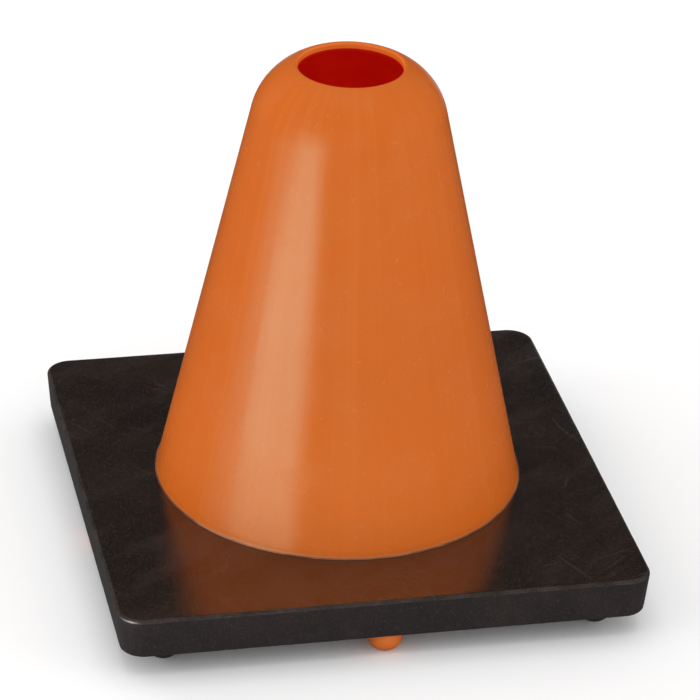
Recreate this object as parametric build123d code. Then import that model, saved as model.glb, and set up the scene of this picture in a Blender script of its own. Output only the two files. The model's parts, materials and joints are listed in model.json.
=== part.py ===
from build123d import *
import math
import os

# Small traffic cone, 6 inch class: an orange cone moulded through a square black base slab.
# Millimetres, +Z up. The origin is on the ground at the centre of the base, which stands on its feet,
# and -Y is the front. One orange and one black moulding, each split into its named features.

# ---- Driving dimensions -------------------------------------------------------------------------

overall_height = 152.4      # ground to the crown of the rim: six inches
foot_height = 6.8           # ground to the underside of the slab
slab_side = 157.0           # over the sides, carried up to the top face before its edge is rounded
slab_thickness = 12.7
slab_inset = 1.1            # each side leans in by this much on its way down to the underside
slab_corner_radius = 7.4
slab_top_round = 1.2
slab_bottom_round = 0.5

cone_half_angle = 12.5      # degrees from the vertical
cone_base_radius = 54.7     # outside of the straight wall, carried down to the top of the slab
dome_radius = 20.8          # arc that rounds the wall over into the rim
hole_radius = 15.4
rim_round = 0.8             # round on the upper edge of the hole
hole_lower_round = 0.4      # round on the lower edge of the hole
wall = 2.8

flare_reach = 0.4           # how far the foot of the wall spreads over the slab
flare_height = 1.2          # how far up the wall the flare starts

ring_radius = 62.0          # outside of the flange that locks the neck under the slab
lock_depth = 3.0            # thickness of that flange and of its arms, let into the underside
arm_width = 8.0

foot_radius = 5.2
foot_round = 4.4            # round on the lower edge of a foot
front_foot_gap = 0.5        # from the front edge foot to the lower edge of the slab beside it
other_foot_gap = 2.0        # the same for the edge feet at the other three sides
corner_foot_x = 64.0        # from the centre to a corner foot
corner_foot_y = 66.0

# ---- Derived places -----------------------------------------------------------------------------

slab_bottom = foot_height
slab_top = foot_height + slab_thickness
slope = math.tan(math.radians(cone_half_angle))
wall_across = wall / math.cos(math.radians(cone_half_angle))    # the wall measured level
lower_edge = slab_side / 2 - slab_inset                         # from the centre, before its round

sides = {"front": -90, "right": 0, "back": 90, "left": 180}     # degrees round the Z axis
foot_reach = {                                                  # from the centre to each edge foot
    side: lower_edge - (front_foot_gap if side == "front" else other_foot_gap) - foot_radius
    for side in sides
}


def outer_radius(z):
    """Radius of the straight outer wall at height z."""
    return cone_base_radius - (z - slab_top) * slope


def dome_centre():
    """(radius, height) of the centre of the dome's arc.

    The arc is tangent to the straight wall, and it meets the rim's round, whose crown is at the
    overall height, so the centre is dome_radius inside the wall and dome_radius - rim_round from
    the centre of that round.
    """
    angle = math.radians(cone_half_angle)
    up_the_wall = Vector(-math.sin(angle), math.cos(angle))
    start = Vector(cone_base_radius - dome_radius / math.cos(angle), slab_top)
    to_round = Vector(hole_radius + rim_round, overall_height - rim_round) - start
    along = to_round.dot(up_the_wall)
    aside = (to_round - up_the_wall * along).length
    return start + up_the_wall * (along - math.sqrt((dome_radius - rim_round) ** 2 - aside ** 2))


# ---- The orange moulding ------------------------------------------------------------------------

def cone_shell():
    """The hollow cone above the slab: straight wall, domed top with its hole, and flared foot."""
    angle = math.radians(cone_half_angle)
    outward = Vector(math.cos(angle), math.sin(angle))
    centre = dome_centre()
    round_centre = Vector(hole_radius + rim_round, overall_height - rim_round)
    to_rim = (round_centre - centre).normalized()

    outer_tangent = centre + outward * dome_radius
    inner_tangent = centre + outward * (dome_radius - wall)
    dome_end = centre + to_rim * dome_radius
    outer_middle = centre + (outward + to_rim).normalized() * dome_radius
    inner_reach = hole_radius - centre.X
    inner_end = Vector(hole_radius, centre.Y + math.sqrt((dome_radius - wall) ** 2 - inner_reach ** 2))
    to_inner_end = (inner_end - centre).normalized()
    inner_middle = centre + (outward + to_inner_end).normalized() * (dome_radius - wall)
    round_start = Vector(hole_radius, round_centre.Y)
    round_middle = round_centre + (to_rim + Vector(-1, 0)).normalized() * rim_round
    flare_start = Vector(outer_radius(slab_top + flare_height), slab_top + flare_height)
    down_the_wall = Vector(math.sin(angle), -math.cos(angle))

    with BuildPart() as shell:
        with BuildSketch(Plane.XZ):
            with BuildLine():
                Line((cone_base_radius - wall_across, slab_top), inner_tangent)
                ThreePointArc(inner_tangent, inner_middle, inner_end)
                Line(inner_end, round_start)
                ThreePointArc(round_start, round_middle, dome_end)
                ThreePointArc(dome_end, outer_middle, outer_tangent)
                Line(outer_tangent, flare_start)
                TangentArc(flare_start, (cone_base_radius + flare_reach, slab_top), tangent=down_the_wall)
                Line((cone_base_radius + flare_reach, slab_top), (cone_base_radius - wall_across, slab_top))
            make_face()
        revolve(axis=Axis.Z)
        hole_edges = shell.edges().filter_by(
            lambda edge: edge.geom_type == GeomType.CIRCLE and abs(edge.radius - hole_radius) < 0.01
        )
        fillet(hole_edges.sort_by(Axis.Z)[0], hole_lower_round)
    return shell.part


def neck_space():
    """Everything inside the outer face of the neck: the opening that the slab leaves for it."""
    with BuildPart() as plug:
        with Locations((0, 0, slab_bottom)):
            Cone(
                outer_radius(slab_bottom), cone_base_radius, slab_thickness,
                align=(Align.CENTER, Align.CENTER, Align.MIN),
            )
    return plug.part


def cone_neck():
    """The wall carried on down through the slab, wider below, so that it can't be pulled out."""
    with BuildPart() as neck:
        add(neck_space())
        with Locations((0, 0, slab_bottom)):
            Cone(
                outer_radius(slab_bottom) - wall_across, cone_base_radius - wall_across, slab_thickness,
                align=(Align.CENTER, Align.CENTER, Align.MIN), mode=Mode.SUBTRACT,
            )
    return neck.part


def ring_space():
    """The round recess that holds the flange."""
    with BuildPart() as disc:
        with Locations((0, 0, slab_bottom)):
            Cylinder(ring_radius, lock_depth, align=(Align.CENTER, Align.CENTER, Align.MIN))
    return disc.part


def lock_ring():
    """The flange round the lower end of the neck, flush with the underside of the slab."""
    return ring_space() - neck_space()


def lock_arm(direction, length):
    """One arm from the flange out to an edge foot, in its channel, with a round outer end."""
    with BuildPart() as arm:
        with BuildSketch(Plane.XY.offset(slab_bottom)):
            with Locations((length / 2, 0)):
                Rectangle(length, arm_width)
            with Locations((length, 0)):
                Circle(arm_width / 2)
            Circle(ring_radius, mode=Mode.SUBTRACT)
        extrude(amount=lock_depth)
    return Rot(0, 0, direction) * arm.part


def foot(x, y):
    """A round foot with a domed lower end and a small flat where it stands."""
    with BuildPart() as stud:
        with Locations((x, y, 0)):
            Cylinder(foot_radius, foot_height, align=(Align.CENTER, Align.CENTER, Align.MIN))
        fillet(stud.faces().sort_by(Axis.Z)[0].edges(), foot_round)
    return stud.part


# ---- The black moulding -------------------------------------------------------------------------

def base_slab():
    """The square slab, with the opening for the neck and the recesses for the flange and its arms."""
    draft = math.degrees(math.atan(slab_inset / slab_thickness))
    with BuildPart() as slab:
        with BuildSketch(Plane.XY.offset(slab_top)):
            RectangleRounded(slab_side, slab_side, slab_corner_radius)
        extrude(amount=-slab_thickness, taper=draft)
        fillet(slab.faces().sort_by(Axis.Z)[-1].edges(), slab_top_round)
        fillet(slab.faces().sort_by(Axis.Z)[0].edges(), slab_bottom_round)
    body = slab.part - neck_space() - ring_space()
    for side, direction in sides.items():
        body -= lock_arm(direction, foot_reach[side])
    return body


# ---- All nodes ----------------------------------------------------------------------------------

nodes = {
    "cone_shell": cone_shell(),
    "cone_neck": cone_neck(),
    "lock_ring": lock_ring(),
    "base_slab": base_slab(),
}
for side, direction in sides.items():
    centre = Vector(foot_reach[side], 0).rotate(Axis.Z, direction)
    nodes[f"lock_arm_{side}"] = lock_arm(direction, foot_reach[side])
    nodes[f"edge_foot_{side}"] = foot(centre.X, centre.Y)
for depth_name, y_sign in (("front", -1), ("back", 1)):
    for width_name, x_sign in (("left", -1), ("right", 1)):
        nodes[f"corner_foot_{depth_name}_{width_name}"] = foot(
            x_sign * corner_foot_x, y_sign * corner_foot_y
        )

os.makedirs("parts", exist_ok=True)
for name, solid in nodes.items():
    export_step(solid, f"parts/{name}.step")
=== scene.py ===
import json
import math

import bmesh
import bpy
from mathutils import Matrix, Vector, noise


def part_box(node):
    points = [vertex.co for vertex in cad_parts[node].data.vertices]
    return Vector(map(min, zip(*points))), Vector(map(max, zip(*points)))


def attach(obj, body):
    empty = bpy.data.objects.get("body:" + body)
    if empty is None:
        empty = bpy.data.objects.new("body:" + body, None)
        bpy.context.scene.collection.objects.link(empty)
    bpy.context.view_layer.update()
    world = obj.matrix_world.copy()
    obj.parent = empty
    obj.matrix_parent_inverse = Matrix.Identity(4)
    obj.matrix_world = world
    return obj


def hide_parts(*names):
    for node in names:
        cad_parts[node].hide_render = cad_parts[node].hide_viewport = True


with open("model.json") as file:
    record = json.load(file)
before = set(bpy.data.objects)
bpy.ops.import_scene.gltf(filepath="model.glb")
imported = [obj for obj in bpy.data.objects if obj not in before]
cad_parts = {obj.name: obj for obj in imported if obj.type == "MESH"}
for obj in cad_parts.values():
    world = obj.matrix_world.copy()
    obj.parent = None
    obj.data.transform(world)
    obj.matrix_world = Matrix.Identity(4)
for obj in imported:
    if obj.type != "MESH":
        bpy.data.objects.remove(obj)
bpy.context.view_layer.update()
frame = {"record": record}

# ---- Sizes, in metres -----------------------------------------------------------------------------
# Places come from the CAD nodes' boxes. The sizes that a box can't give repeat the CAD source's.

MM = 0.001

slab_low, slab_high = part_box("base_slab")
shell_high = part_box("cone_shell")[1]
ring_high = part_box("lock_ring")[1]
foot_low, foot_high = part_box("edge_foot_front")
arm_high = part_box("lock_arm_front")[1]
hole = next(mount for mount in frame["record"]["mounts"] if mount["name"] == "top_hole")

SLAB_TOP = slab_high.z
SLAB_BOTTOM = slab_low.z
SLAB_HALF = slab_high.x
SLAB_INSET = 1.0 * MM            # lean of each side, from its top round down to the underside
SLAB_CORNER = 7.4 * MM
SLAB_TOP_ROUND = 1.2 * MM
SLAB_BOTTOM_ROUND = 0.5 * MM

TOP = shell_high.z
HALF_ANGLE = math.radians(12.5)
WALL = 2.8 * MM
WALL_ACROSS = WALL / math.cos(HALF_ANGLE)
DOME_RADIUS = 20.8 * MM
HOLE_RADIUS = hole["dims"]["r_mm"] * MM
RIM_ROUND = 0.8 * MM
HOLE_LOWER_ROUND = 0.4 * MM
FLARE_RADIUS = shell_high.x
FLARE_REACH = 0.4 * MM
FLARE_HEIGHT = 1.2 * MM
BASE_RADIUS = FLARE_RADIUS - FLARE_REACH

RING_RADIUS = ring_high.x
LOCK_TOP = ring_high.z
ARM_HALF_WIDTH = arm_high.x
FOOT_RADIUS = foot_high.x
FOOT_ROUND = 4.4 * MM
SEAM = 0.15 * MM                 # bevel of the edges that meet flush in the underside

TURNS = 256                      # segments round the cone's axis
FOOT_TURNS = 72                  # segments round a foot
SHARP_ANGLE = math.radians(40)   # edges that turn by more than this stay sharp
SIDES = {"right": 0, "back": 90, "left": 180, "front": 270}
FOOT_REACH = {}                  # from the centre to each edge foot, by its direction in quarter turns
for side, direction in SIDES.items():
    low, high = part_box(f"edge_foot_{side}")
    FOOT_REACH[direction // 90] = ((low + high) / 2).xy.length

IN_ORANGE, IN_RED, IN_FLASH, IN_RIM = range(4)     # the cone's materials, in their order on a piece


# ---- Mesh helpers ---------------------------------------------------------------------------------

def finish_piece(name, bm, materials, replaced):
    """Makes a piece of the bmesh, smooth but for its sharp edges, in place of the CAD node named."""
    bmesh.ops.recalc_face_normals(bm, faces=bm.faces)
    mesh = bpy.data.meshes.new(name)
    bm.to_mesh(mesh)
    bm.free()
    mesh.shade_smooth()
    mesh.set_sharp_from_angle(angle=SHARP_ANGLE)
    for material in materials:
        mesh.materials.append(material)
    piece = bpy.data.objects.new(name, mesh)
    bpy.context.scene.collection.objects.link(piece)
    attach(piece, "root")
    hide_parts(replaced)


def arc(centre, radius, start, end, steps):
    """Points of a flat arc about its centre, from one angle to the other, in degrees."""
    points = []
    for step in range(steps + 1):
        angle = math.radians(start + (end - start) * step / steps)
        points.append((centre[0] + radius * math.cos(angle), centre[1] + radius * math.sin(angle)))
    return points


def skin(bm, loops, marks=None, capped=False):
    """Joins each loop of vertices to the next, and the first and last to each other or to flat caps.

    The marks number the material of the faces that start at each loop. Without them it is the first.
    """
    count = len(loops[0])
    following = loops[1:] if capped else loops[1:] + loops[:1]
    for index, (near, far) in enumerate(zip(loops, following)):
        for step in range(count):
            after = (step + 1) % count
            face = bm.faces.new((near[step], near[after], far[after], far[step]))
            face.material_index = marks[index] if marks else 0
    if capped:
        bm.faces.new(loops[0])
        bm.faces.new(loops[-1])


def lathe(profile, marks=None, turns=TURNS, centre=(0.0, 0.0), wobble=None, capped=False):
    """A profile of (radius, height) points turned about the upright axis at centre.

    The wobble gives what is added to a point's radius, from its index, its angle and its height.
    """
    bm = bmesh.new()
    loops = []
    for index, (radius, height) in enumerate(profile):
        loop = []
        for turn in range(turns):
            angle = 2 * math.pi * turn / turns
            extra = wobble(index, angle, height) if wobble else 0.0
            x = centre[0] + (radius + extra) * math.cos(angle)
            y = centre[1] + (radius + extra) * math.sin(angle)
            loop.append(bm.verts.new((x, y, height)))
        loops.append(loop)
    skin(bm, loops, marks, capped)
    return bm


# ---- The cone -------------------------------------------------------------------------------------

def wall_radius(height):
    """Radius of the straight outer wall."""
    return BASE_RADIUS - (height - SLAB_TOP) * math.tan(HALF_ANGLE)


def dome_centre():
    """Centre of the dome's arc: tangent to the wall inside, and touching the rim's round."""
    up_the_wall = Vector((-math.sin(HALF_ANGLE), math.cos(HALF_ANGLE)))
    start = Vector((BASE_RADIUS - DOME_RADIUS / math.cos(HALF_ANGLE), SLAB_TOP))
    to_round = Vector((HOLE_RADIUS + RIM_ROUND, TOP - RIM_ROUND)) - start
    along = to_round.dot(up_the_wall)
    aside = (to_round - up_the_wall * along).length
    return start + up_the_wall * (along - math.sqrt((DOME_RADIUS - RIM_ROUND) ** 2 - aside ** 2))


def cone_shell():
    """The wall: up the outside from a thin lip of flash, over the dome and rim, down the inside."""
    wall_angle = math.degrees(HALF_ANGLE)
    centre = dome_centre()
    round_centre = Vector((HOLE_RADIUS + RIM_ROUND, TOP - RIM_ROUND))
    to_round = round_centre - centre
    rim_angle = math.degrees(math.atan2(to_round.y, to_round.x))

    lip = 0.22 * MM                  # thickness of the flash
    flare_steps, wall_steps, inner_steps = 8, 24, 12

    flash = [(FLARE_RADIUS, SLAB_TOP),
             (FLARE_RADIUS + lip * 0.2, SLAB_TOP + lip * 0.5),
             (FLARE_RADIUS - lip * 0.2, SLAB_TOP + lip),
             (FLARE_RADIUS - lip * 1.2, SLAB_TOP + lip * 1.1)]
    outside = []
    for step in range(1, flare_steps + 1):
        share = step / flare_steps
        height = SLAB_TOP + lip * 1.2 + (FLARE_HEIGHT - lip * 1.2) * share
        spread = (FLARE_RADIUS - lip * 1.4 - wall_radius(SLAB_TOP)) * (1 - share) ** 2
        outside.append((wall_radius(height) + spread, height))
    straight_top = centre.y + DOME_RADIUS * math.sin(HALF_ANGLE)
    for step in range(1, wall_steps):
        height = SLAB_TOP + FLARE_HEIGHT + (straight_top - SLAB_TOP - FLARE_HEIGHT) * step / wall_steps
        outside.append((wall_radius(height), height))
    outside += arc(centre, DOME_RADIUS, wall_angle, rim_angle, steps=28)
    outside += arc(round_centre, RIM_ROUND, rim_angle, 180, steps=10)[1:]

    inner_arc = DOME_RADIUS - WALL
    inner_end = math.degrees(math.acos((HOLE_RADIUS + HOLE_LOWER_ROUND - centre.x) / inner_arc))
    low = centre.y + inner_arc * math.sin(math.radians(inner_end))
    hole_wall = [(HOLE_RADIUS, low + 0.5 * (round_centre.y - low)),
                 (HOLE_RADIUS, low + HOLE_LOWER_ROUND * 1.4),
                 (HOLE_RADIUS + HOLE_LOWER_ROUND * 0.3, low + HOLE_LOWER_ROUND * 0.4)]
    inside = arc(centre, inner_arc, inner_end, wall_angle, steps=20)
    inner_top = inside[-1][1]
    for step in range(inner_steps - 1, -1, -1):
        height = SLAB_TOP + (inner_top - SLAB_TOP) * step / inner_steps
        inside.append((wall_radius(height) - WALL_ACROSS, height))

    profile = flash + outside + hole_wall + inside
    lit = 6                          # faces with the painted glow: the inner half of the rim and the hole's upper wall
    marks = ([IN_FLASH] * len(flash) + [IN_ORANGE] * (len(outside) - lit) + [IN_RIM] * lit
             + [IN_RED] * (len(hole_wall) + len(inside)))

    def wobble(index, angle, height):
        """The flash is ragged, the flare is true, and the wall above it is a touch out of true."""
        place = Vector((math.cos(angle), math.sin(angle), height * 8))
        if index < len(flash):
            ragged = noise.noise(place * 5) + 0.5 * noise.noise(place * 13)
            return min(0.0, -0.05 * MM + ragged * 0.12 * MM)
        if height > SLAB_TOP + FLARE_HEIGHT:
            return 0.05 * MM * noise.noise(place * 1.7) - 0.03 * MM
        return 0.0

    return lathe(profile, marks, wobble=wobble)


def cone_neck():
    """The wall carried down through the slab, with a small bevel where it meets the ring below."""
    low = SLAB_BOTTOM
    outer = wall_radius(low)
    inner = outer - WALL_ACROSS
    profile = [(inner + SEAM * 2, low), (outer - SEAM, low), (wall_radius(low + SEAM), low + SEAM),
               (wall_radius(SLAB_TOP), SLAB_TOP), (wall_radius(SLAB_TOP) - WALL_ACROSS, SLAB_TOP),
               (wall_radius(low + SEAM * 2) - WALL_ACROSS, low + SEAM * 2)]
    return lathe(profile, [IN_ORANGE] * 4 + [IN_RED] * 2)


def lock_ring():
    """The flange, flush with the underside, with small bevels on its lower edges."""
    low = SLAB_BOTTOM
    profile = [(wall_radius(low) + SEAM, low), (RING_RADIUS - SEAM, low), (RING_RADIUS, low + SEAM),
               (RING_RADIUS, LOCK_TOP), (wall_radius(LOCK_TOP), LOCK_TOP),
               (wall_radius(low + SEAM), low + SEAM)]
    return lathe(profile)


def lock_arm(direction):
    """An arm from the ring's edge out to its round end, with a small bevel on its lower edge."""
    half = ARM_HALF_WIDTH
    reach = FOOT_REACH[direction // 90]
    start = math.degrees(math.asin(half / RING_RADIUS))

    def outline(inset, height):
        points = []
        for x, y in arc((0.0, 0.0), RING_RADIUS + inset, start, -start, steps=8):
            points.append((x, y * (half - inset) / half))
        points += arc((reach, 0.0), half - inset, -90, 90, steps=24)
        turn = Matrix.Rotation(math.radians(direction), 3, "Z")
        return [turn @ Vector((x, y, height)) for x, y in points]

    bm = bmesh.new()
    loops = [[bm.verts.new(point) for point in outline(*level)]
             for level in ((SEAM, SLAB_BOTTOM), (0.0, SLAB_BOTTOM + SEAM), (0.0, LOCK_TOP))]
    skin(bm, loops, capped=True)
    return bm


def foot(x, y):
    """A domed stud, with a small flat where it stands."""
    height = foot_high.z - foot_low.z
    flat = FOOT_RADIUS - FOOT_ROUND
    profile = arc((flat, FOOT_ROUND), FOOT_ROUND, -90, 0, steps=16)
    profile += [(FOOT_RADIUS, height * 0.85), (FOOT_RADIUS, height)]
    return lathe(profile, turns=FOOT_TURNS, centre=(x, y), capped=True)


# ---- The slab -------------------------------------------------------------------------------------

def square_reach(angle, half, corner):
    """Distance from the centre to a square with rounded corners, in the direction of the angle."""
    folded = abs((angle + math.pi / 4) % (math.pi / 2) - math.pi / 4)
    if math.tan(folded) * half <= half - corner:
        return half / math.cos(folded)
    middle = (half - corner) * math.sqrt(2)
    aside = folded - math.pi / 4
    return middle * math.cos(aside) + math.sqrt(corner ** 2 - (middle * math.sin(aside)) ** 2)


def lock_reach(angle):
    """Distance from the centre to the outline of the ring with its four arms."""
    turn = round(angle / (math.pi / 2))
    folded = abs(angle - turn * math.pi / 2)
    reach = FOOT_REACH[turn % 4]
    if folded <= math.atan2(ARM_HALF_WIDTH, reach):
        aside = reach * math.sin(folded)
        return reach * math.cos(folded) + math.sqrt(max(0.0, ARM_HALF_WIDTH ** 2 - aside ** 2))
    return max(RING_RADIUS, ARM_HALF_WIDTH / math.sin(folded))


def slab_angles():
    """Directions shared by the slab's loops: every two degrees, closer where an outline turns."""
    arm_root = math.asin(ARM_HALF_WIDTH / RING_RADIUS)
    bend = math.atan2(SLAB_HALF - SLAB_CORNER, SLAB_HALF)
    angles = []
    for turn, reach in FOOT_REACH.items():
        arm_end = math.atan2(ARM_HALF_WIDTH, reach)
        quarter = [math.radians(2 * step) for step in range(-22, 23)] + [math.pi / 4]
        for sign in (-1, 1):
            quarter += [sign * arm_end, sign * arm_root]
            quarter += [sign * arm_end * step / 8 for step in range(1, 8)]
            quarter += [sign * (bend + (math.pi / 4 - bend) * step / 10) for step in range(10)]
        quarter = sorted(set(round(angle, 5) for angle in quarter))
        angles += [angle + turn * math.pi / 2 for angle in quarter]
    return angles


def base_slab():
    """The slab, with its rounded edges, the neck's opening and the recess for the ring and arms."""
    angles = slab_angles()
    bm = bmesh.new()

    def loop(reach, height, rough=0.0):
        """Vertices at the reach of each angle, nicked inward by up to about the roughness."""
        verts = []
        for angle in angles:
            out = reach(angle)
            place = Vector((out * math.cos(angle), out * math.sin(angle), height))
            nick = rough * (noise.noise(place * 900) + 0.7 * noise.noise(place * 240))
            flat = Vector((math.cos(angle), math.sin(angle), 0))
            verts.append(bm.verts.new(place - flat * abs(nick)))
        return verts

    def circle(radius):
        return lambda angle: radius

    def square(inset):
        return lambda angle: square_reach(angle, SLAB_HALF - inset, SLAB_CORNER - inset * 0.5)

    top_steps, bottom_steps = 8, 6   # of the rounded edges
    neck = wall_radius(SLAB_TOP)
    loops = [loop(circle(neck), SLAB_TOP)]
    top_edge = square(SLAB_TOP_ROUND)
    for share in (0.2, 0.4, 0.6, 0.8, 0.93):
        loops.append(loop(lambda angle: neck + (top_edge(angle) - neck) * share, SLAB_TOP))
    for step in range(top_steps + 1):
        angle = math.radians(90 - 90 * step / top_steps)
        inset = SLAB_TOP_ROUND * (1 - math.cos(angle))
        height = SLAB_TOP - SLAB_TOP_ROUND * (1 - math.sin(angle))
        loops.append(loop(square(inset), height, rough=0.05 * MM))
    for share in (0.25, 0.5, 0.75):
        height = SLAB_TOP - SLAB_TOP_ROUND + (SLAB_BOTTOM - SLAB_TOP + SLAB_TOP_ROUND) * share
        loops.append(loop(square(SLAB_INSET * share), height, rough=0.03 * MM))
    for step in range(bottom_steps + 1):
        angle = math.radians(-90 * step / bottom_steps)
        inset = SLAB_INSET + SLAB_BOTTOM_ROUND * (1 - math.cos(angle))
        height = SLAB_BOTTOM + SLAB_BOTTOM_ROUND * (1 + math.sin(angle))
        loops.append(loop(square(inset), height, rough=0.02 * MM))
    loops.append(loop(lambda angle: lock_reach(angle) + SEAM, SLAB_BOTTOM))
    loops.append(loop(lock_reach, SLAB_BOTTOM + SEAM))
    loops.append(loop(lock_reach, LOCK_TOP))
    loops.append(loop(circle(wall_radius(LOCK_TOP)), LOCK_TOP))
    skin(bm, loops)
    return bm


# ---- Materials ------------------------------------------------------------------------------------

class Recipe:
    """A node material under construction: short names for the nodes that the recipes share."""

    def __init__(self, name):
        self.material = bpy.data.materials.new(name)
        self.material.use_nodes = True
        self.tree = self.material.node_tree
        self.shader = self.tree.nodes["Principled BSDF"]
        self.place = self.tree.nodes.new("ShaderNodeTexCoord").outputs["Object"]

    def put(self, source, socket):
        """Sets the socket to a number or a tuple, or links another node's output to it."""
        if isinstance(source, (int, float)):
            socket.default_value = source
        elif isinstance(source, tuple):
            socket.default_value = (*source, 1.0) if len(socket.default_value) == 4 else source
        else:
            self.tree.links.new(source, socket)

    def set(self, **values):
        """Puts values on the shader's own sockets."""
        for name, value in values.items():
            self.put(value, self.shader.inputs[name.replace("_", " ")])

    def math(self, operation, first, second):
        node = self.tree.nodes.new("ShaderNodeMath")
        node.operation = operation
        self.put(first, node.inputs[0])
        self.put(second, node.inputs[1])
        return node.outputs[0]

    def vector(self, operation, first, second=(0.0, 0.0, 0.0)):
        node = self.tree.nodes.new("ShaderNodeVectorMath")
        node.operation = operation
        self.put(first, node.inputs[0])
        self.put(second, node.inputs[1])
        return node.outputs[0]

    def turned(self, degrees, length):
        """Slightly bent coordinates, turned about the upright axis and drawn out along their own Y."""
        node = self.tree.nodes.new("ShaderNodeMapping")
        node.vector_type = "TEXTURE"
        bend = self.vector("MULTIPLY", self.noise_colour(self.place, 22.0), (0.012, 0.012, 0.0))
        self.put(self.vector("ADD", self.place, bend), node.inputs["Vector"])
        self.put((0.0, 0.0, math.radians(degrees)), node.inputs["Rotation"])
        self.put((1.0, length, 2.0), node.inputs["Scale"])
        return node.outputs[0]

    def noise_colour(self, where, scale):
        node = self.tree.nodes.new("ShaderNodeTexNoise")
        self.put(where, node.inputs["Vector"])
        self.put(scale, node.inputs["Scale"])
        return node.outputs["Color"]

    def noise(self, where, scale, detail=2.0, rough=0.5):
        node = self.tree.nodes.new("ShaderNodeTexNoise")
        self.put(where, node.inputs["Vector"])
        self.put(scale, node.inputs["Scale"])
        self.put(detail, node.inputs["Detail"])
        self.put(rough, node.inputs["Roughness"])
        return node.outputs[0]

    def ramp(self, value, low, high, out_low=0.0, out_high=1.0):
        """A smooth step of the value from low to high."""
        node = self.tree.nodes.new("ShaderNodeMapRange")
        node.interpolation_type = "SMOOTHSTEP"
        self.put(value, node.inputs["Value"])
        ends = {"From Min": low, "From Max": high, "To Min": out_low, "To Max": out_high}
        for name, number in ends.items():
            self.put(number, node.inputs[name])
        return node.outputs[0]

    def mix(self, share, first, second):
        """One colour mixed with another, through the mix node's sockets for colours."""
        node = self.tree.nodes.new("ShaderNodeMix")
        node.data_type = "RGBA"
        self.put(share, node.inputs[0])
        self.put(first, node.inputs[6])
        self.put(second, node.inputs[7])
        return node.outputs[2]

    def bump(self, height, distance, strength, below=None):
        node = self.tree.nodes.new("ShaderNodeBump")
        self.put(strength, node.inputs["Strength"])
        self.put(distance, node.inputs["Distance"])
        self.put(height, node.inputs["Height"])
        if below:
            self.put(below, node.inputs["Normal"])
        return node.outputs[0]

    def height(self):
        """Height above the ground, in metres."""
        node = self.tree.nodes.new("ShaderNodeSeparateXYZ")
        self.put(self.place, node.inputs[0])
        return node.outputs["Z"]

    def facing_up(self):
        """The upright part of the surface's normal: 1 facing up, 0 sideways and -1 facing down."""
        geometry = self.tree.nodes.new("ShaderNodeNewGeometry")
        node = self.tree.nodes.new("ShaderNodeSeparateXYZ")
        self.put(geometry.outputs["Normal"], node.inputs[0])
        return node.outputs["Z"]

    def round_the_axis(self, across, along):
        """Coordinates that go by the direction from the cone's axis, and by the height."""
        flat = self.vector("NORMALIZE", self.vector("MULTIPLY", self.place, (1.0, 1.0, 0.0)))
        spread = self.vector("MULTIPLY", flat, (across, across, across))
        rise = self.vector("MULTIPLY", self.place, (0.0, 0.0, along))
        return self.vector("ADD", spread, rise)

    def scratches(self, directions, scale, threshold):
        """Thin short scratches lying in each of the directions, as a 0 to 1 mask."""
        total = 0.0
        for index, angle in enumerate(directions):
            where = self.turned(angle, 30.0)
            lines = self.ramp(self.noise(where, scale + 60 * index, 1.0), threshold, threshold + 0.05)
            patch = self.ramp(self.noise(self.place, 45 + 9 * index, 1.0), 0.52, 0.66)
            total = self.math("MAXIMUM", total, self.math("MULTIPLY", lines, patch))
        return total


def orange_vinyl():
    """Glossy orange PVC: streaks up the wall, cloudy colour, dust, scuffs, and painted shade and light
    near the foot.
    """
    recipe = Recipe("orange_vinyl")
    streak = recipe.noise(recipe.round_the_axis(26.0, 2.5), 1.0, 3.0, 0.6)
    wide_streak = recipe.noise(recipe.round_the_axis(7.0, 3.0), 1.0, 1.0)
    cloud = recipe.noise(recipe.place, 75.0, 4.0, 0.6)
    fine = recipe.noise(recipe.place, 900.0, 2.0)
    specks = recipe.ramp(recipe.noise(recipe.place, 1100.0, 0.0), 0.84, 0.87)
    scuffs = recipe.scratches((12, 70, 140), 620.0, 0.72)
    # Painted shade: a darker band just above the slab, where the cone meets it; the band is also
    # rougher.
    painted_shade_band = recipe.ramp(recipe.height(), SLAB_TOP + 0.4 * MM, SLAB_TOP + 2.6 * MM, 1.0, 0.0)

    colour = recipe.mix(recipe.ramp(streak, 0.45, 0.75), (0.615, 0.127, 0.0130), (0.640, 0.145, 0.0190))
    colour = recipe.mix(recipe.ramp(wide_streak, 0.3, 0.7, 0.0, 0.5), colour, (0.600, 0.119, 0.0110))
    colour = recipe.mix(recipe.ramp(cloud, 0.35, 0.7, 0.0, 0.35), colour, (0.635, 0.134, 0.0160))
    colour = recipe.mix(recipe.math("MULTIPLY", specks, 0.22), colour, (0.75, 0.38, 0.22))
    colour = recipe.mix(recipe.math("MULTIPLY", scuffs, 0.08), colour, (0.70, 0.26, 0.12))
    colour = recipe.mix(recipe.math("MULTIPLY", painted_shade_band, 0.22), colour, (0.16, 0.05, 0.02))
    # Painted light: the wall's colour is lightened towards the foot, to offset the shade there.
    painted_foot_light = recipe.ramp(recipe.height(), SLAB_TOP, 0.5 * TOP, 0.14, 0.0)
    colour = recipe.mix(painted_foot_light, colour, (1.3, 0.28, 0.03))

    rough = recipe.ramp(cloud, 0.3, 0.7, 0.21, 0.29)
    rough = recipe.math("ADD", rough, recipe.math("MULTIPLY", scuffs, 0.15))
    rough = recipe.math("ADD", rough, recipe.math("MULTIPLY", painted_shade_band, 0.15))

    lines = recipe.bump(streak, 0.06 * MM, 0.5)
    peel = recipe.bump(fine, 0.012 * MM, 0.6, lines)
    dents = recipe.bump(cloud, 0.10 * MM, 0.35, peel)
    recipe.set(Base_Color=colour, Roughness=rough, IOR=1.5, Specular_IOR_Level=0.46,
               Specular_Tint=(0.30, 1.0, 0.77), Normal=dents)
    return recipe.material


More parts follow.
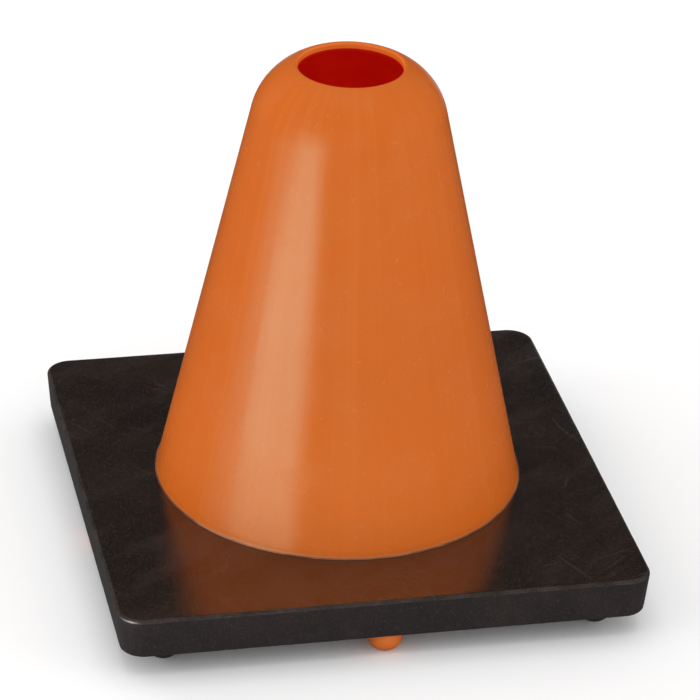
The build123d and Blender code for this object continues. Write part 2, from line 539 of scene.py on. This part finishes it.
def painted_glow_rim():
    """The inner lip of the hole: the same orange, with a painted glow that stands in for light through
    the wall.
    """
    recipe = Recipe("painted_glow_rim")
    cloud = recipe.noise(recipe.place, 110.0, 3.0)
    colour = recipe.mix(recipe.ramp(cloud, 0.3, 0.7), (0.60, 0.120, 0.012), (0.63, 0.135, 0.017))
    # The emission is painted light, a glow for light through the thin wall.
    recipe.set(Base_Color=colour, Roughness=0.35, Emission_Color=colour, Emission_Strength=0.30,
               Normal=recipe.bump(cloud, 0.05 * MM, 0.4))
    return recipe.material


def painted_shade_and_glow_inside():
    """The inside, matt from the mould: its deep red is painted shade, and an emitted glow, strongest
    near the top, is painted light through the wall.
    """
    recipe = Recipe("painted_shade_and_glow_inside")
    cloud = recipe.noise(recipe.place, 110.0, 3.0)
    fine = recipe.noise(recipe.place, 1400.0, 2.0)
    # Painted light: an emitted glow, rising towards the top, for light through the wall.
    glow = recipe.ramp(recipe.height(), 0.35 * TOP, 0.8 * TOP, 0.06, 1.0)
    # Painted shade: the dark red stands in for the orange wall in its own shade.
    colour = recipe.mix(recipe.ramp(cloud, 0.3, 0.7), (0.14, 0.0040, 0.0010), (0.18, 0.0060, 0.0015))
    light = recipe.mix(recipe.ramp(cloud, 0.3, 0.7), (0.255, 0.0012, 0.0003), (0.280, 0.0020, 0.0005))
    recipe.set(Base_Color=colour, Roughness=recipe.ramp(cloud, 0.3, 0.7, 0.55, 0.7),
               Specular_IOR_Level=0.1, Emission_Color=light, Emission_Strength=glow,
               Normal=recipe.bump(fine, 0.03 * MM, 0.6))
    return recipe.material


def flash_and_painted_shade():
    """The ragged edge of flash round the cone's foot: stretched thin, paler and matt, with painted
    shade where it meets the slab.
    """
    recipe = Recipe("flash_and_painted_shade")
    patch = recipe.noise(recipe.place, 70.0, 3.0)
    # Both colours are darker than the orange: partly the flash's own, partly painted shade at the foot.
    colour = recipe.mix(recipe.ramp(patch, 0.35, 0.65), (0.13, 0.048, 0.028), (0.38, 0.15, 0.065))
    recipe.set(Base_Color=colour, Roughness=recipe.ramp(patch, 0.3, 0.7, 0.4, 0.6),
               Normal=recipe.bump(patch, 0.05 * MM, 0.5))
    return recipe.material


def black_vinyl():
    """Satin black PVC: polished top, matter sides, worn edges with a painted highlight, dust, smears
    and fine scratches.
    """
    recipe = Recipe("black_vinyl")
    up = recipe.facing_up()
    top = recipe.ramp(up, 0.15, 0.55)
    cloud = recipe.noise(recipe.place, 38.0, 4.0, 0.6)
    smear = recipe.noise(recipe.turned(125, 3.5), 90.0, 4.0, 0.65)
    grain = recipe.noise(recipe.place, 1500.0, 3.0, 0.75)
    fine = recipe.noise(recipe.place, 5200.0, 1.0)
    specks = recipe.ramp(recipe.noise(recipe.place, 1300.0, 0.0), 0.78, 0.84)
    scratches = recipe.math("MULTIPLY", recipe.scratches((20, 63, 105, 160), 620.0, 0.69), top)
    hairs = recipe.math("MULTIPLY", recipe.scratches((35, 82, 128), 760.0, 0.61), top)
    edge = recipe.math("MULTIPLY", recipe.ramp(up, 0.05, 0.35), recipe.ramp(up, 0.90, 0.998, 1.0, 0.0))
    edge_patches = recipe.ramp(recipe.noise(recipe.place, 150.0, 3.0), 0.35, 0.62, 0.45, 1.0)
    worn_edge_and_highlight = recipe.math("MULTIPLY", edge, edge_patches)
    side = recipe.math("SUBTRACT", 1.0, top)

    dark = recipe.mix(recipe.ramp(cloud, 0.3, 0.7), (0.0092, 0.0056, 0.0042), (0.0185, 0.0112, 0.0084))
    colour = recipe.mix(top, (0.0205, 0.0150, 0.0155), dark)
    colour = recipe.mix(recipe.ramp(smear, 0.42, 0.72, 0.0, 0.45), colour, (0.037, 0.025, 0.020))
    colour = recipe.mix(recipe.ramp(grain, 0.50, 0.70, 0.0, 0.60), colour, (0.058, 0.042, 0.036))
    colour = recipe.mix(recipe.math("MULTIPLY", specks, 0.25), colour, (0.12, 0.10, 0.085))
    colour = recipe.mix(recipe.math("MULTIPLY", hairs, 0.10), colour, (0.10, 0.075, 0.05))
    colour = recipe.mix(recipe.math("MULTIPLY", scratches, 0.16), colour, (0.10, 0.08, 0.07))
    # The rounded top edge is lightened: partly worn, partly a painted highlight.
    colour = recipe.mix(recipe.math("MULTIPLY", worn_edge_and_highlight, 0.36), colour, (0.095, 0.076, 0.066))
    polish = recipe.ramp(smear, 0.35, 0.75, 0.14, 0.22)
    rough = recipe.math("ADD", polish, recipe.math("MULTIPLY", side, 0.30))
    rough = recipe.math("ADD", rough, recipe.math("MULTIPLY", scratches, 0.12))
    gloss = recipe.math("ADD", recipe.math("MULTIPLY", top, 0.60), 0.15)
    sheen = recipe.math("MULTIPLY", side, 0.05)

    texture = recipe.bump(grain, 0.045 * MM, 0.7)
    texture = recipe.bump(fine, 0.008 * MM, 0.5, texture)
    waves = recipe.bump(cloud, 0.14 * MM, 0.3, texture)
    recipe.set(Base_Color=colour, Roughness=rough, IOR=1.9, Specular_IOR_Level=gloss,
               Sheen_Weight=sheen, Normal=waves)
    return recipe.material


orange = orange_vinyl()
red = painted_shade_and_glow_inside()
flash = flash_and_painted_shade()
rim = painted_glow_rim()
black = black_vinyl()


# ---- Pieces ---------------------------------------------------------------------------------------

finish_piece("orange_shell", cone_shell(), [orange, red, flash, rim], "cone_shell")
finish_piece("orange_neck", cone_neck(), [orange, red], "cone_neck")
finish_piece("orange_ring", lock_ring(), [orange], "lock_ring")
finish_piece("black_slab", base_slab(), [black], "base_slab")
for side, direction in SIDES.items():
    finish_piece(f"orange_arm_{side}", lock_arm(direction), [orange], f"lock_arm_{side}")
    low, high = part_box(f"edge_foot_{side}")
    middle = (low + high) / 2
    stud = foot(middle.x, middle.y)
    finish_piece(f"orange_foot_{side}", stud, [orange], f"edge_foot_{side}")
for corner in ("front_left", "front_right", "back_left", "back_right"):
    low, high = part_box(f"corner_foot_{corner}")
    middle = (low + high) / 2
    stud = foot(middle.x, middle.y)
    finish_piece(f"black_foot_{corner}", stud, [black], f"corner_foot_{corner}")


# ---- Stage ----------------------------------------------------------------------------------------

# The camera's angles are in degrees, and the distance and the target's height in sides of the slab.
CAMERA_AZIMUTH = -12.464         # from the front, to the left
CAMERA_ELEVATION = 27.937
CAMERA_PAN = -0.1246
CAMERA_TILT = -0.4297
CAMERA_ROLL = -1.956
CAMERA_DISTANCE = 7.673
TARGET_HEIGHT = 0.4              # above the slab's underside
SENSOR_WIDTH = 36.0              # in millimetres, as the lens
LENS = 208.81
SIDE_ROUNDED_OFF = 0.22 * MM     # what the round of the top edge takes off the slab's side

FLOOR_HALF = 1.5
AIM_HEIGHT = 0.07                # the lights point at the cone's axis, at this height
KEY_DISTANCE = 0.38              # from the axis to the lights for highlights
FILL_DISTANCE = 2.0
FILL_HEIGHT = 0.7
FILL_SIZE = (1.2, 1.2)
WORLD_ON_MATT = 0.78             # the world's strength for the matt surfaces
WORLD_ON_GLOSS = 0.03            # the same in what the glossy surfaces mirror


def add_floor():
    """A pale floor. The white world takes over where it ends, and glossy surfaces don't mirror it."""
    half = FLOOR_HALF
    corners = [(-half, -half, 0), (half, -half, 0), (half, half, 0), (-half, half, 0)]
    mesh = bpy.data.meshes.new("floor")
    mesh.from_pydata(corners, [], [(0, 1, 2, 3)])
    floor = bpy.data.objects.new("floor", mesh)
    bpy.context.scene.collection.objects.link(floor)
    material = bpy.data.materials.new("floor")
    material.use_nodes = True
    shader = material.node_tree.nodes["Principled BSDF"]
    shader.inputs["Base Color"].default_value = (0.96, 0.96, 0.96, 1)
    shader.inputs["Roughness"].default_value = 1.0
    shader.inputs["Specular IOR Level"].default_value = 0.0
    mesh.materials.append(material)
    floor.visible_glossy = False


def add_light(name, azimuth, distance, height, size, power, shine=False):
    """An area light, for highlights only with shine and for matt surfaces only without.

    The azimuth is in degrees from the camera's.
    """
    angle = math.radians(CAMERA_AZIMUTH + azimuth)
    place = Vector((distance * math.sin(angle), -distance * math.cos(angle), height))
    light = bpy.data.lights.new(name, "AREA")
    light.shape = "RECTANGLE"
    light.size, light.size_y = size
    light.energy = power
    lamp = bpy.data.objects.new(name, light)
    bpy.context.scene.collection.objects.link(lamp)
    lamp.location = place
    lamp.rotation_euler = (Vector((0, 0, AIM_HEIGHT)) - place).to_track_quat("-Z", "Y").to_euler()
    lamp.visible_camera = False
    lamp.visible_glossy = shine
    lamp.visible_diffuse = not shine


def add_world():
    """White behind the floor, pale for the matt surfaces, dim in what the glossy ones mirror."""
    world = bpy.data.worlds.new("world")
    bpy.context.scene.world = world
    world.use_nodes = True
    tree = world.node_tree
    background = tree.nodes["Background"]
    rays = tree.nodes.new("ShaderNodeLightPath")
    level = tree.nodes.new("ShaderNodeMapRange")
    level.inputs["To Min"].default_value = WORLD_ON_MATT
    level.inputs["To Max"].default_value = WORLD_ON_GLOSS
    seen = tree.nodes.new("ShaderNodeMath")
    seen.operation = "MAXIMUM"
    tree.links.new(rays.outputs["Is Glossy Ray"], level.inputs["Value"])
    tree.links.new(level.outputs[0], seen.inputs[0])
    tree.links.new(rays.outputs["Is Camera Ray"], seen.inputs[1])
    tree.links.new(seen.outputs[0], background.inputs["Strength"])
    background.inputs["Color"].default_value = (1.0, 1.0, 1.0, 1.0)


def add_camera():
    """The camera stands a little left of the front and looks down on the cone through a long lens."""
    side = 2 * SLAB_HALF + SIDE_ROUNDED_OFF
    azimuth, elevation = math.radians(CAMERA_AZIMUTH), math.radians(CAMERA_ELEVATION)
    pan, tilt, roll = math.radians(CAMERA_PAN), math.radians(CAMERA_TILT), math.radians(CAMERA_ROLL)
    distance = CAMERA_DISTANCE * side
    target = Vector((0, 0, SLAB_BOTTOM + TARGET_HEIGHT * side))
    level = math.cos(elevation)
    back = Vector((math.sin(azimuth) * level, -math.cos(azimuth) * level, math.sin(elevation)))
    right = (-back).cross(Vector((0, 0, 1))).normalized()
    base = Matrix((right, back.cross(right), back)).transposed()
    turned = (base @ Matrix.Rotation(pan, 3, "Y") @ Matrix.Rotation(tilt, 3, "X")
              @ Matrix.Rotation(-roll, 3, "Z"))
    data = bpy.data.cameras.new("camera")
    data.sensor_width = SENSOR_WIDTH
    data.lens = LENS
    camera = bpy.data.objects.new("camera", data)
    bpy.context.scene.collection.objects.link(camera)
    camera.matrix_world = Matrix.Translation(target + back * distance) @ turned.to_4x4()
    bpy.context.scene.camera = camera


add_floor()
add_light("key", -44, KEY_DISTANCE, 0.035, (0.28, 0.13), 0.51, shine=True)
add_light("key_middle", -39, KEY_DISTANCE, 0.12, (0.15, 0.05), 0.070, shine=True)
add_light("key_top", -42, KEY_DISTANCE, 0.195, (0.22, 0.13), 0.15, shine=True)
add_light("key_edge", -72, KEY_DISTANCE, 0.04, (0.12, 0.16), 0.06, shine=True)
add_light("key_back", 175, KEY_DISTANCE, 0.055, (0.28, 0.09), 0.03, shine=True)
add_light("fill_left", -72, FILL_DISTANCE, FILL_HEIGHT, FILL_SIZE, 8.5)
add_light("fill_far_left", -130, FILL_DISTANCE, FILL_HEIGHT, FILL_SIZE, 8)
add_light("fill_front", 5, FILL_DISTANCE, FILL_HEIGHT, FILL_SIZE, 5)
add_light("fill_right", 75, FILL_DISTANCE, FILL_HEIGHT, FILL_SIZE, 6.5)
add_light("top", 0, 0.01, 2.0, (1.4, 1.4), 7)
add_world()
add_camera()
bpy.context.scene.view_settings.view_transform = "Standard"
